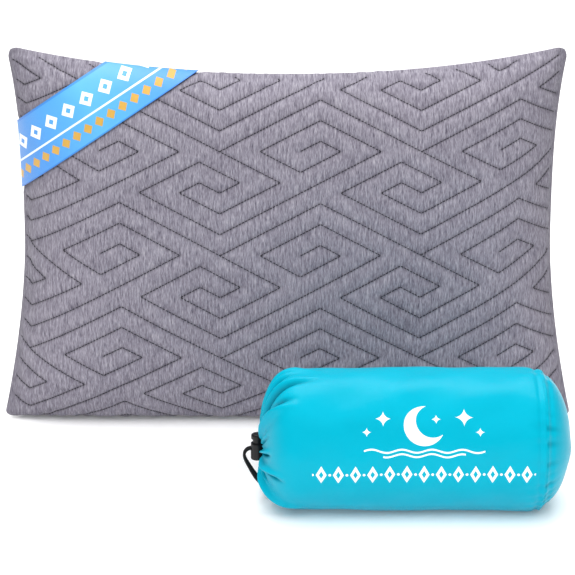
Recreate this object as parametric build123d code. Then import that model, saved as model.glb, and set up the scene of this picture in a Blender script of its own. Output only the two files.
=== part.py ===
from build123d import *
from math import atan2, cos, degrees, pi, radians, sin, tan
import os

# A camp pillow that stands on one long edge, with its full stuff sack lying in front of it.
# Millimetres. +X is to the right, -Y to the front, +Z up. The origin is on the floor, in the middle
# of the pillow's foot. Soft pieces are plain closed solids of the right size.

# pillow outline and fullness
upper_ear_half_width = 225.0  # middle to the tip of an upper corner
lower_ear_half_width = 236.0  # the lower corners spread under the pillow's weight
upper_ear_power = 3.0  # how late the short edges curve out to the corners
lower_ear_power = 1.7
waist_half_width = 215.5  # middle to the middle of a short edge
ear_height = 311.5
waist_height = 288.0  # top edge at its middle
top_edge_power = 2.2
foot_sink = 8.0  # how far the round lower edge would reach below the floor if it were not pressed flat
ear_lift = 1.0  # lower ears stay this far above the floor
half_thickness = 59.0
fullness_along = 0.3
fullness_up = 0.2
edge_blend = 0.25  # keeps the two faces meeting at an angle along the seam
crown_along = 1.8  # the larger, the flatter the middle
crown_up = 1.3
columns = 24
rows = 16

# layers of the pillow, each measured inwards from the outside of the cover
cover_thickness = 6.0  # quilted knit with its batting
liner_outside = 6.4
liner_inside = 7.0
foam_outside = 7.3

# zip in the back panel
zip_height = 58.0
tape_length = 250.0
tape_width = 13.0
tape_thickness = 0.8
tape_recess = 0.6  # below the lowest part of the cover beside it
coil_length = 238.0
coil_width = 2.0
coil_height = 1.9
coil_gap = 1.4  # room between the two coils for the slider's post
coil_rounding = 0.7
stop_length = 2.6
stop_overlap = 0.3  # past the coils on each side
stop_height = 2.2
stop_gap = 0.1  # from the coil's end
slider_length = 10.0
slider_width = 8.6
slider_end_gap = 2.0
lid_gap = 0.3  # above the coils
lid_thickness = 1.3
lid_corner = 2.4
flange_width = 1.2
flange_foot = 1.2
flange_length = 5.2
plate_thickness = 1.3  # the slider's lower plate, behind the tapes
plate_gap = 0.35
plate_corner = 2.0
post_length = 2.6
post_width = 0.9
crown_length = 8.2
crown_bar = 1.2
crown_height = 7.6  # middle of the crown's bar above the inner face of the tape
crown_post = 1.4
crown_post_width = 2.0
crown_post_middle = 3.4  # from the slider's middle
bite = 0.1  # how far joined shapes run into each other
ring_wire = 1.0
ring_half_width = 1.9
ring_drop = 6.2
tab_width = 7.5
tab_length = 22.5
tab_thickness = 1.2
tab_hole_radius = 1.5
tab_hole_drop = 0.6  # below the ring's lowest wire
tab_top_margin = 1.6
tab_foot_corner = 3.2
tab_top_corner = 2.0
label_width = 18.0
label_length = 24.0
label_thickness = 0.6
label_gap = 0.6
label_tuck = 1.0  # below the slit's lower edge
label_x = 104.0

# ribbon sash round the upper left corner
sash_width = 47.0
sash_gap = 0.4
sash_thickness = 0.9
sash_middle = (-154.0, -19.0, 267.0)
sash_reach = 150.0  # how far below its middle the loop can go
sash_normal = (-0.548, 0.143, 0.824)

# stuff sack, axis along X
sack_y = -198.0
sack_axis_height = 52.3
sack_radius = 53.5
sack_left = -23.0
sack_right = 211.5
left_dome = 28.6  # length of the rounded end at the mouth
right_dome = 36.5  # length of the rounded end with the disc
dome_power = 2.3
dome_steps = 9
disc_seam_x = 189.0
sack_wall = 1.0
roll_clearance = 1.3
mouth_z = 46.0
recess_radius = 13.5
recess_floor_x = -9.0
mouth_hole_radius = 3.6
hem_radius = 13.2
hem_front_x = -17.0
hem_gap = 0.3
channel_ring_radius = 8.4
channel_radius = 1.35

# drawcord and cord lock
cord_diameter = 2.3
cord_z = 45.0
lock_x = -22.5
barrel_radius = 5.1
barrel_bore = 3.8
barrel_foot_z = 36.5
barrel_height = 13.0
barrel_floor = 1.2
button_top_z = 56.5
button_height = 3.5
button_radius = 4.8
stem_radius = 3.6
stem_foot_z = 42.5
slot_width = 5.3
slot_foot_z = 43.7
cord_slot_height = 2.8
barrel_rounding = 0.8
button_rounding = 1.4
press_travel = 3.2
slot_gap = 0.15
spring_gap = 0.05
spring_radius = 2.6
spring_wire = 0.4
spring_turns = 4
knot_radius = 3.4
knot_stretch = 1.3
knot_flatness = 0.9

# Routes are (x, distance behind the sack's axis, z). Each strand runs straight through the mouth and
# the lock, folds down over the lock's edge, and lies on the floor behind the sack.
front_strand = [
    (18.0, -1.25, 45.0),
    (-31.5, -1.25, 45.0),
    (-33.0, -1.0, 39.5),
    (-30.5, 0.2, 31.0),
    (-26.5, 4.0, 21.0),
    (-21.0, 11.2, 11.5),
    (-16.5, 21.5, 4.5),
    (-11.5, 34.0, 1.3),
    (-6.0, 48.0, 1.25),
    (1.5, 62.0, 1.25),
    (13.0, 73.0, 1.25),
    (29.0, 78.5, 1.25),
    (47.0, 77.5, 1.25),
    (65.0, 73.5, 1.25),
    (81.0, 72.3, 2.4),
]
back_strand = [
    (18.0, 1.25, 45.0),
    (-31.0, 1.25, 45.0),
    (-32.6, 1.7, 39.3),
    (-29.6, 3.3, 31.2),
    (-25.0, 7.2, 21.8),
    (-18.8, 13.6, 12.6),
    (-13.7, 23.3, 5.1),
    (-8.3, 35.4, 1.3),
    (-3.0, 48.3, 1.25),
    (4.2, 60.3, 1.25),
    (14.5, 69.8, 1.25),
    (29.5, 74.6, 1.25),
    (47.0, 74.2, 1.25),
    (64.5, 70.3, 1.25),
    (81.0, 69.2, 2.4),
]
knot_centre = (84.6, 70.75, 3.1)

far = 600.0  # larger than the object, for the blocks that cut it

os.makedirs("parts", exist_ok=True)


def write(shape, node):
    export_step(shape, f"parts/{node}.step")
    print(f"{node}: {len(shape.solids())} solid, {shape.volume:.0f} mm3")


def block(low, high):
    size = [b - a for a, b in zip(low, high)]
    middle = [(a + b) / 2 for a, b in zip(low, high)]
    return Pos(*middle) * Box(*size)


# --- pillow ---


def spread(t, fullness):
    """Maps -1..1 to -1..1 so that evenly spaced values bunch up towards the seam."""
    s = sin(radians(90 * t))
    c = cos(radians(90 * t))
    return (1 - edge_blend) * s * (1 + fullness * c * c) + edge_blend * t


def pillow_point(along, up, inwards):
    """A point of the front face; along and up run from -1 to 1 between the seams."""
    u = spread(along, fullness_along)
    v = spread(up, fullness_up)
    if v > 0:
        ear = (upper_ear_half_width - waist_half_width) * v**upper_ear_power
    else:
        ear = (lower_ear_half_width - waist_half_width) * (-v) ** lower_ear_power
    half_width = waist_half_width + ear - inwards
    top = waist_height + (ear_height - waist_height) * abs(u) ** top_edge_power - inwards
    bottom = -foot_sink + (foot_sink + ear_lift) * u**4 + inwards
    on_seam = abs(along) == 1 or abs(up) == 1
    crown = cos(radians(90 * abs(along) ** crown_along)) * cos(radians(90 * abs(up) ** crown_up))
    return Vector(
        u * half_width,
        0 if on_seam else -(half_thickness - inwards) * crown,
        (top + bottom) / 2 + v * (top - bottom) / 2,
    )


def pillow_face(inwards):
    across = [-1 + 2 * i / columns for i in range(columns + 1)]
    upward = [-1 + 2 * i / rows for i in range(rows + 1)]
    grid = [[pillow_point(a, b, inwards) for a in across] for b in upward]
    return Face.make_surface_from_array_of_points(grid)


def round_form(inwards):
    """The pillow's whole closed form with its outside moved inwards, not yet pressed on the floor."""
    front = pillow_face(inwards)
    return Solid(Shell([front, front.mirror(Plane.XZ)]))


def standing_form(inwards):
    """The same form with its foot cut flat, as far above the floor as it is inwards."""
    return round_form(inwards) - block((-far, -far, -far), (far, far, inwards))


def back_surface_y(x, z):
    hits = back_face.find_intersection_points(Axis((x, 0, z), (0, 1, 0)))
    return max(point.Y for point, normal in hits)


back_face = pillow_face(0).mirror(Plane.XZ)
cover = standing_form(0) - standing_form(cover_thickness)

# The zip lies in a flat strip that just clears the cover's outside at the middle and at both ends.
strip_low_z = zip_height - tape_width
strip_high_z = zip_height + tape_width
strip_low_y = min(back_surface_y(x, strip_low_z) for x in (0, tape_length / 2))
strip_high_y = min(back_surface_y(x, strip_high_z) for x in (0, tape_length / 2))
strip_tilt = atan2(strip_high_y - strip_low_y, 2 * tape_width)
strip_depth = tape_thickness + tape_recess
strip = Plane(
    origin=(0, (strip_low_y + strip_high_y) / 2 - strip_depth, zip_height),
    x_dir=(-1, 0, 0),
    z_dir=(0, cos(strip_tilt), -sin(strip_tilt)),
)
print(f"zip strip: y {strip.origin.Y:.2f}, tilt {degrees(strip_tilt):.2f} degrees")

slit = strip * Box(tape_length, 2 * tape_width, 30)
front_half = block((-far, -far, -1), (far, 0, far))
back_half = block((-far, 0, -1), (far, far, far))

write(cover & front_half, "cover_front_panel")
write((cover & back_half) - slit, "cover_back_panel")

write(standing_form(liner_outside) - standing_form(liner_inside), "inner_liner")
write(standing_form(foam_outside), "foam_fill")

# --- zip ---


def zip_half(side, inner, outer, length, foot, height):
    """A bar along the zip between two distances from its middle line, on one side of it."""
    middle = side * (inner + outer) / 2
    return strip * Pos(0, middle, foot + height / 2) * Box(length, outer - inner, height)


coil_inner = coil_gap / 2
coil_outer = coil_inner + coil_width
for name, side in (("upper", 1), ("lower", -1)):
    write(zip_half(side, coil_inner, tape_width, tape_length, 0, tape_thickness), f"zip_tape_{name}")
    coil = Box(coil_length, coil_width, coil_height)
    coil = fillet(coil.edges().filter_by(Axis.X).group_by(Axis.Z)[-1], coil_rounding)
    coil_middle = side * (coil_inner + coil_outer) / 2
    write(strip * Pos(0, coil_middle, tape_thickness + coil_height / 2) * coil, f"zip_coil_{name}")

for name, direction in (("closed_end", 1), ("open_end", -1)):
    stop = Box(stop_length, 2 * (coil_outer + stop_overlap), stop_height)
    stop = fillet(stop.edges().filter_by(Axis.Z), 0.6)
    stop_x = direction * (coil_length / 2 + stop_gap + stop_length / 2)
    write(strip * Pos(stop_x, 0, tape_thickness + stop_height / 2) * stop, f"zip_stop_{name}")

slider_x = coil_length / 2 - slider_length / 2 - slider_end_gap  # at the closed end
slider_place = strip * Pos(slider_x, 0, 0)
lid_foot = tape_thickness + coil_height + lid_gap
lid_top = lid_foot + lid_thickness
lid = Box(slider_length, slider_width, lid_thickness)
lid = fillet(lid.edges().filter_by(Axis.Z), lid_corner)
slider = Pos(0, 0, (lid_foot + lid_top) / 2) * fillet(lid.edges().group_by(Axis.Z)[-1], 0.4)
flange_top = lid_foot + 2 * bite
for side in (1, -1):
    flange = Box(flange_length, flange_width, flange_top - flange_foot)
    flange_middle = side * (slider_width - flange_width) / 2
    slider += Pos(0, flange_middle, (flange_foot + flange_top) / 2) * flange
plate = Box(slider_length - 1, slider_width - 1, plate_thickness)
plate = fillet(plate.edges().filter_by(Axis.Z), plate_corner)
slider += Pos(0, 0, -plate_gap - plate_thickness / 2) * plate
post_foot = -plate_gap - bite
post_top = lid_foot + bite
slider += Pos(0, 0, (post_foot + post_top) / 2) * Box(post_length, post_width, post_top - post_foot)
crown_foot = lid_top - bite
crown_top = crown_height + crown_bar / 2
for side in (1, -1):
    upright_bar = Box(crown_post, crown_post_width, crown_top - crown_foot)
    slider += Pos(side * crown_post_middle, 0, (crown_foot + crown_top) / 2) * upright_bar
slider += Pos(0, 0, crown_height) * Rot(0, 90, 0) * Cylinder(crown_bar / 2, crown_length)
write(slider_place * slider, "zip_slider_body")

hinge = (slider_place * Pos(0, 0, crown_height)).position
print(f"zip pull hinge: {hinge.X:.2f}, {hinge.Y:.2f}, {hinge.Z:.2f}")

ring_plane = Plane(origin=hinge, x_dir=(0, 1, 0), z_dir=(1, 0, 0))
near, away = ring_half_width, -ring_half_width
ring_line = Line((near, 0), (near, -ring_drop))
ring_line += RadiusArc((near, -ring_drop), (away, -ring_drop), ring_half_width)
ring_line += Line((away, -ring_drop), (away, 0))
ring_line += RadiusArc((away, 0), (near, 0), ring_half_width)
ring_start = ring_plane.from_local_coords((near, -1, 0))
ring_section = Plane(origin=ring_start, z_dir=(0, 0, -1)) * Circle(ring_wire / 2)
ring = sweep(ring_section, path=ring_plane * ring_line)
write(ring, "zip_pull_ring")

tab_hole_z = hinge.Z - ring_drop - ring_half_width - tab_hole_drop
tab_top_z = tab_hole_z + tab_hole_radius + tab_top_margin
tab = Box(tab_width, tab_thickness, tab_length)
tab = fillet(tab.edges().filter_by(Axis.Y).group_by(Axis.Z)[0], tab_foot_corner)
tab = fillet(tab.edges().filter_by(Axis.Y).group_by(Axis.Z)[-1], tab_top_corner)
tab = Pos(hinge.X, hinge.Y, tab_top_z - tab_length / 2) * tab
tab_hole = Pos(hinge.X, hinge.Y, tab_hole_z) * Rot(90, 0, 0) * Cylinder(tab_hole_radius, 10)
write(tab - tab_hole, "zip_pull_tab")

label_top = strip.from_local_coords((-label_x, -tape_width, 0))
label_high_z = label_top.Z - label_tuck
label_y = back_surface_y(label_x, label_high_z) + label_gap + label_thickness / 2
label = Box(label_width, label_thickness, label_length)
write(Pos(label_x, label_y, label_high_z - label_length / 2) * label, "care_label")

# --- sash ---

sash_slab = Plane(origin=sash_middle, z_dir=sash_normal) * Box(2 * far, 2 * far, sash_width)
sash_shell = round_form(-sash_gap - sash_thickness) - round_form(-sash_gap)
upper_left = block((-far, -far, sash_middle[2] - sash_reach), (0, far, far))
write(sash_shell & sash_slab & upper_left, "corner_sash")

# --- sack ---


def sack_form(inwards):
    """The full sack's closed form with its pressed foot and the hollow at the mouth."""
    radius = sack_radius - inwards
    quarter = [90 * i / dome_steps for i in range(dome_steps + 1)]

    def dome(pole_x, length):
        """A superellipse from the pole on the axis to the full radius."""
        bend = 2 / dome_power
        return [
            (pole_x - length * (1 - cos(radians(a)) ** bend), radius * sin(radians(a)) ** bend)
            for a in quarter
        ]

    left = dome(sack_left + inwards, -(left_dome - inwards))
    right = dome(sack_right - inwards, right_dome - inwards)
    outline = Spline(*left) + Line(left[-1], right[-1]) + Spline(*right[::-1])
    outline += Line(right[0], left[0])
    axis = Plane(origin=(0, sack_y, sack_axis_height), x_dir=(1, 0, 0), z_dir=(0, -1, 0))
    form = axis * revolve(make_face(outline), Axis.X)
    form -= block((-far, -far, -far), (far, far, inwards))
    return form - along_x(recess_radius + inwards, sack_left - 10, recess_floor_x + inwards, mouth_z)


def along_x(radius, low_x, high_x, z, y=sack_y):
    rod = Rot(0, 90, 0) * Cylinder(radius, high_x - low_x)
    return Pos((low_x + high_x) / 2, y, z) * rod


mouth_hole = along_x(mouth_hole_radius, -40, 23, mouth_z)
sack_shell = sack_form(0) - sack_form(sack_wall) - mouth_hole
tube_side = block((-far, -far, -1), (disc_seam_x, far, far))
disc_side = block((disc_seam_x, -far, -1), (far, far, far))
write(sack_shell & tube_side, "sack_tube")
write(sack_shell & disc_side, "sack_end_disc")
write(sack_form(roll_clearance) - mouth_hole, "packed_roll")

hem_back_x = recess_floor_x - hem_gap
hem_middle_x = (hem_front_x + hem_back_x) / 2
hem = along_x(hem_radius, hem_front_x, hem_back_x, mouth_z)
hem = fillet(hem.edges().group_by(Axis.X)[0], 2.0) - mouth_hole
hem_turn = Pos(hem_middle_x, sack_y, mouth_z) * Rot(0, 90, 0)
write(hem - hem_turn * Torus(channel_ring_radius, channel_radius), "sack_hem")
write(hem_turn * Torus(channel_ring_radius, cord_diameter / 2), "drawcord_in_hem")

# --- drawcord strands ---


def corner_radii(points):
    """Each corner's largest sensible arc: 0.45 of the shorter run over the tangent of half the turn."""
    radii = []
    for before, corner, after in zip(points, points[1:], points[2:]):
        run_in = corner - before
        run_out = after - corner
        half_turn = radians(run_in.get_angle(run_out)) / 2
        radii.append(0.45 * min(run_in.length, run_out.length) / tan(half_turn))
    return radii


def strand(route, node):
    points = [Vector(x, sack_y + behind, z) for x, behind, z in route]
    radii = corner_radii(points)
    path = FilletPolyline(*points, radius=radii)
    section = Plane(origin=points[0], z_dir=points[1] - points[0]) * Circle(cord_diameter / 2)
    tube = sweep(section, path=path)
    straight = pi * (cord_diameter / 2) ** 2 * path.length
    print(f"{node}: length {path.length:.1f}, radii", [round(r, 1) for r in radii])
    print(f"{node}: volume {tube.volume:.1f}, section times length {straight:.1f}")
    write(tube, node)


strand(front_strand, "drawcord_strand_front")
strand(back_strand, "drawcord_strand_back")

knot = scale(Sphere(knot_radius), by=(knot_stretch, 1, knot_flatness))
knot_x, knot_behind, knot_z = knot_centre
write(Pos(knot_x, sack_y + knot_behind, knot_z) * knot, "drawcord_knot")

# --- cord lock ---


def upright(radius, low_z, high_z):
    return Pos(lock_x, sack_y, (low_z + high_z) / 2) * Cylinder(radius, high_z - low_z)


barrel_top_z = barrel_foot_z + barrel_height
barrel = upright(barrel_radius, barrel_foot_z, barrel_top_z)
barrel = fillet(barrel.edges().filter_by(GeomType.CIRCLE), barrel_rounding)
barrel -= upright(barrel_bore, barrel_foot_z + barrel_floor, barrel_top_z + 1)
cord_slot = SlotOverall(slot_width, cord_slot_height, rotation=90)
cord_slot = Rot(0, 90, 0) * extrude(cord_slot, 2 * barrel_radius, both=True)
barrel -= Pos(lock_x, sack_y, cord_z) * cord_slot
write(barrel, "lock_barrel")

cap_foot_z = button_top_z - button_height
cap = upright(button_radius, cap_foot_z, button_top_z)
cap = fillet(cap.edges().filter_by(GeomType.CIRCLE).group_by(Axis.Z)[-1], button_rounding)
plunger = cap + upright(stem_radius, stem_foot_z, cap_foot_z)
slot_top_z = cord_z + cord_diameter / 2 + slot_gap + press_travel
half_slot = slot_width / 2
plunger -= block(
    (lock_x - barrel_radius, sack_y - half_slot, slot_foot_z),
    (lock_x + barrel_radius, sack_y + half_slot, slot_top_z),
)
write(plunger, "lock_plunger")

spring_foot = barrel_foot_z + barrel_floor + spring_wire / 2 + spring_gap
spring_height = stem_foot_z - spring_foot - spring_wire / 2 - spring_gap
coil_line = Helix(spring_height / spring_turns, spring_height, spring_radius)
spring_section = Plane(origin=coil_line @ 0, z_dir=coil_line % 0) * Circle(spring_wire / 2)
spring = sweep(spring_section, path=coil_line, is_frenet=True)
write(Pos(lock_x, sack_y, spring_foot) * spring, "lock_spring")
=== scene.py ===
import math
import random

import bpy
import numpy as np
from mathutils import Matrix, Vector


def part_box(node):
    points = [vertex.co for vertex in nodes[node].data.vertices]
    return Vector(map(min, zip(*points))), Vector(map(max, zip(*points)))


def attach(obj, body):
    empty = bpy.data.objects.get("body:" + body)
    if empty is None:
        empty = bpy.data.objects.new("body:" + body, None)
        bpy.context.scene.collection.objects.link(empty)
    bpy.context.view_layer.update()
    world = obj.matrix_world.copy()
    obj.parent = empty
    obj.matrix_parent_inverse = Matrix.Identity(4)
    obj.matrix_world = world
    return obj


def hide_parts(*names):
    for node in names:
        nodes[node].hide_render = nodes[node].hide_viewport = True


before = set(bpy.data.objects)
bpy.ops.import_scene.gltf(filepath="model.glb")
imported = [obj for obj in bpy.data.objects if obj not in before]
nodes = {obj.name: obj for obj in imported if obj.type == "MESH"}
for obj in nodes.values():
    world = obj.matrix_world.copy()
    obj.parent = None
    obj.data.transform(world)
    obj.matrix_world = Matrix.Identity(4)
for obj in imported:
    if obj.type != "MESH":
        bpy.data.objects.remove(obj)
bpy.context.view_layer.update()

bpy.context.scene.view_settings.view_transform = "Standard"
print("frame loaded:", len(nodes), "nodes")


# small tools

def deselectAll():
    if bpy.context.mode != "OBJECT":
        bpy.ops.object.mode_set(mode="OBJECT")
    bpy.ops.object.select_all(action="DESELECT")


def pick(piece):
    deselectAll()
    piece.select_set(True)
    bpy.context.view_layer.objects.active = piece


def named(piece, name):
    piece.name = name
    piece.data.name = name
    return piece


def settle(piece):
    # puts the object's place into its mesh
    pick(piece)
    bpy.ops.object.transform_apply(location=True, rotation=True, scale=True)


def applyAll(piece):
    pick(piece)
    for modifier in list(piece.modifiers):
        bpy.ops.object.modifier_apply(modifier=modifier.name)


def smooth(piece, angle=None):
    pick(piece)
    if angle is None:
        bpy.ops.object.shade_smooth()
    else:
        bpy.ops.object.shade_smooth_by_angle(angle=math.radians(angle))


def joined(pieces, name):
    deselectAll()
    for piece in pieces:
        piece.select_set(True)
    bpy.context.view_layer.objects.active = pieces[0]
    bpy.ops.object.join()
    return named(pieces[0], name)


def readPoints(piece):
    points = np.zeros(len(piece.data.vertices) * 3)
    piece.data.vertices.foreach_get("co", points)
    return points.reshape(-1, 3)


def writePoints(piece, points):
    piece.data.vertices.foreach_set("co", np.ascontiguousarray(points, dtype=np.float32).ravel())
    piece.data.update()


def gridPiece(name, across, up):
    # a grid of across by up faces; gives each vertex's place in it as two whole numbers
    deselectAll()
    bpy.ops.mesh.primitive_grid_add(x_subdivisions=across, y_subdivisions=up, size=1)
    piece = named(bpy.context.object, name)
    flat = readPoints(piece)
    column = np.rint((flat[:, 0] + 0.5) * across).astype(int)
    row = np.rint((flat[:, 1] + 0.5) * up).astype(int)
    return piece, column, row


def layUv(piece, name, u, v):
    # a UV map from one pair of values for each vertex
    layer = piece.data.uv_layers.get(name) or piece.data.uv_layers.new(name=name)
    piece.data.uv_layers.active = layer
    corners = np.zeros(len(piece.data.loops), dtype=np.int32)
    piece.data.loops.foreach_get("vertex_index", corners)
    layer.data.foreach_set("uv", np.column_stack([u[corners], v[corners]]).astype(np.float32).ravel())


def vertexNormals(piece):
    normals = np.zeros(len(piece.data.vertices) * 3)
    piece.data.vertices.foreach_get("normal", normals)
    return normals.reshape(-1, 3)


def smoothstep(low, high, value):
    t = np.clip((value - low) / (high - low), 0, 1)
    return t * t * (3 - 2 * t)


def upsample(values, factor):
    # a smooth curve through evenly spaced values, with factor times as many steps (first axis)
    count = len(values)
    fine = np.linspace(0, count - 1, (count - 1) * factor + 1)
    index = np.clip(fine.astype(int), 0, count - 2)
    t = (fine - index).reshape((-1,) + (1,) * (values.ndim - 1))
    before = np.where((index > 0).reshape(t.shape), values[np.maximum(index - 1, 0)],
                      2 * values[0] - values[1])
    after = np.where((index < count - 2).reshape(t.shape), values[np.minimum(index + 2, count - 1)],
                     2 * values[-1] - values[-2])
    a, b = values[index], values[index + 1]
    return 0.5 * (2 * a + (b - before) * t + (2 * before - 5 * a + 4 * b - after) * t ** 2
                  + (3 * a - before - 3 * b + after) * t ** 3)


def refine(grid, factor):
    return np.swapaxes(upsample(np.swapaxes(upsample(grid, factor), 0, 1), factor), 0, 1)


def flipped(piece):
    pick(piece)
    bpy.ops.object.mode_set(mode="EDIT")
    bpy.ops.mesh.select_all(action="SELECT")
    bpy.ops.mesh.flip_normals()
    bpy.ops.object.mode_set(mode="OBJECT")


def merged(piece, threshold=0.00002):
    pick(piece)
    bpy.ops.object.mode_set(mode="EDIT")
    bpy.ops.mesh.select_all(action="SELECT")
    bpy.ops.mesh.remove_doubles(threshold=threshold)
    bpy.ops.object.mode_set(mode="OBJECT")


def sampleGrid(grid, x, y):
    # values of grid[row, column] between its points
    x = np.clip(x, 0, grid.shape[1] - 1.001)
    y = np.clip(y, 0, grid.shape[0] - 1.001)
    i, j = x.astype(int), y.astype(int)
    s, t = (x - i), (y - j)
    if grid.ndim == 3:
        s, t = s[:, None], t[:, None]
    return ((1 - s) * (1 - t) * grid[j, i] + s * (1 - t) * grid[j, i + 1]
            + (1 - s) * t * grid[j + 1, i] + s * t * grid[j + 1, i + 1])


# camera

cameraSetup = {"distance": 1.8, "elevation": 18.0, "aimHeight": 0.1074, "lens": 135.9, "sensor": 36.0}


def placeCamera():
    lift = math.radians(cameraSetup["elevation"])
    data = bpy.data.cameras.new("camera")
    data.lens = cameraSetup["lens"]
    data.sensor_width = cameraSetup["sensor"]
    camera = bpy.data.objects.new("camera", data)
    bpy.context.scene.collection.objects.link(camera)
    reach = cameraSetup["distance"]
    camera.location = (0, -reach * math.cos(lift), cameraSetup["aimHeight"] + reach * math.sin(lift))
    camera.rotation_euler = (math.radians(90) - lift, 0, 0)
    bpy.context.scene.camera = camera


placeCamera()


# drawcord

cordSetup = {"diameter": 0.0023, "sackY": -0.198, "exit": (-0.009, -0.198, 0.045)}
# (x, distance behind the sack's axis, z): through the mouth and the lock, down and behind the sack
frontStrand = [
    (0.018, -0.00125, 0.045), (-0.0208, -0.00125, 0.045), (-0.0251, -0.00125, 0.045),
    (-0.0294, -0.00125, 0.045), (-0.0325, -0.0012, 0.0419), (-0.0325, -0.0009, 0.0374),
    (-0.0298, 0.0002, 0.0312), (-0.0257, 0.004, 0.0212), (-0.021, 0.0112, 0.0115),
    (-0.0165, 0.0215, 0.0045), (-0.0115, 0.034, 0.0013), (-0.006, 0.048, 0.00125),
    (0.0015, 0.062, 0.00125), (0.013, 0.073, 0.00125), (0.029, 0.0785, 0.00125),
    (0.047, 0.0775, 0.00125), (0.065, 0.0735, 0.00125), (0.081, 0.0723, 0.0024),
]
backStrand = [
    (0.018, 0.00125, 0.045), (-0.0208, 0.00125, 0.045), (-0.0251, 0.00125, 0.045),
    (-0.0294, 0.00125, 0.045), (-0.0325, 0.0014, 0.0419), (-0.0325, 0.0019, 0.0373),
    (-0.0294, 0.0034, 0.0312), (-0.0248, 0.0072, 0.0218), (-0.0188, 0.0136, 0.0126),
    (-0.0137, 0.0233, 0.0051), (-0.0083, 0.0354, 0.0013), (-0.003, 0.0483, 0.00125),
    (0.0042, 0.0603, 0.00125), (0.0145, 0.0698, 0.00125), (0.0295, 0.0746, 0.00125),
    (0.047, 0.0742, 0.00125), (0.0645, 0.0703, 0.00125), (0.081, 0.0692, 0.0024),
]


def strand(name, route):
    curve = bpy.data.curves.new(name, "CURVE")
    curve.dimensions = "3D"
    curve.bevel_depth = cordSetup["diameter"] / 2
    curve.bevel_resolution = 3
    curve.resolution_u = 10
    curve.use_fill_caps = True
    line = curve.splines.new("NURBS")
    line.points.add(len(route) - 1)
    for point, (x, behind, z) in zip(line.points, route):
        point.co = (x, cordSetup["sackY"] + behind, z, 1)
    line.order_u = 3
    line.use_endpoint_u = True
    cord = bpy.data.objects.new(name, curve)
    bpy.context.scene.collection.objects.link(cord)
    return cord


def cordKnot():
    # the two ends tied together: three wraps and two short tails
    low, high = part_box("drawcord_knot")
    middle = (low + high) / 2
    half = (high - low) / 2
    radius = cordSetup["diameter"] / 2
    wraps = []
    for place, tilt, lean in ((-0.55, 72, 12), (0.0, 96, -14), (0.5, 80, 20)):
        deselectAll()
        bpy.ops.mesh.primitive_torus_add(
            major_segments=36, minor_segments=14, major_radius=half.y - radius, minor_radius=radius,
            location=(middle.x + place * half.x, middle.y, middle.z),
            rotation=(0, math.radians(tilt), math.radians(lean)))
        wraps.append(bpy.context.object)
        wraps[-1].scale = (0.92, 1, 1)
        settle(wraps[-1])
    for side in (1, -1):
        deselectAll()
        bpy.ops.mesh.primitive_cylinder_add(
            vertices=14, radius=radius, depth=0.007, rotation=(0, math.radians(90), math.radians(side * 24)),
            location=(middle.x + half.x + 0.0015, middle.y + side * 0.0019, middle.z - 0.0008))
        wraps.append(bpy.context.object)
        settle(wraps[-1])
    knot = joined(wraps, "drawcordKnot")
    points = readPoints(knot)
    points[:, 2] = np.maximum(points[:, 2], 0.0001)
    writePoints(knot, points)
    smooth(knot, 50)
    return knot


strandFront = strand("drawcordFront", frontStrand)
strandBack = strand("drawcordBack", backStrand)
knotPiece = cordKnot()

# shader building

class Signal:
    # a shader value that takes + - * / and ** like a number
    def __init__(self, finish, socket):
        self.finish = finish
        self.socket = socket

    def __add__(self, other):
        return self.finish.math("ADD", self, other)

    def __radd__(self, other):
        return self.finish.math("ADD", other, self)

    def __sub__(self, other):
        return self.finish.math("SUBTRACT", self, other)

    def __rsub__(self, other):
        return self.finish.math("SUBTRACT", other, self)

    def __mul__(self, other):
        return self.finish.math("MULTIPLY", self, other)

    def __rmul__(self, other):
        return self.finish.math("MULTIPLY", other, self)

    def __truediv__(self, other):
        return self.finish.math("DIVIDE", self, other)

    def __pow__(self, other):
        return self.finish.math("POWER", self, other)

    def __lt__(self, other):
        return self.finish.math("LESS_THAN", self, other)

    def __gt__(self, other):
        return self.finish.math("GREATER_THAN", self, other)


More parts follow.
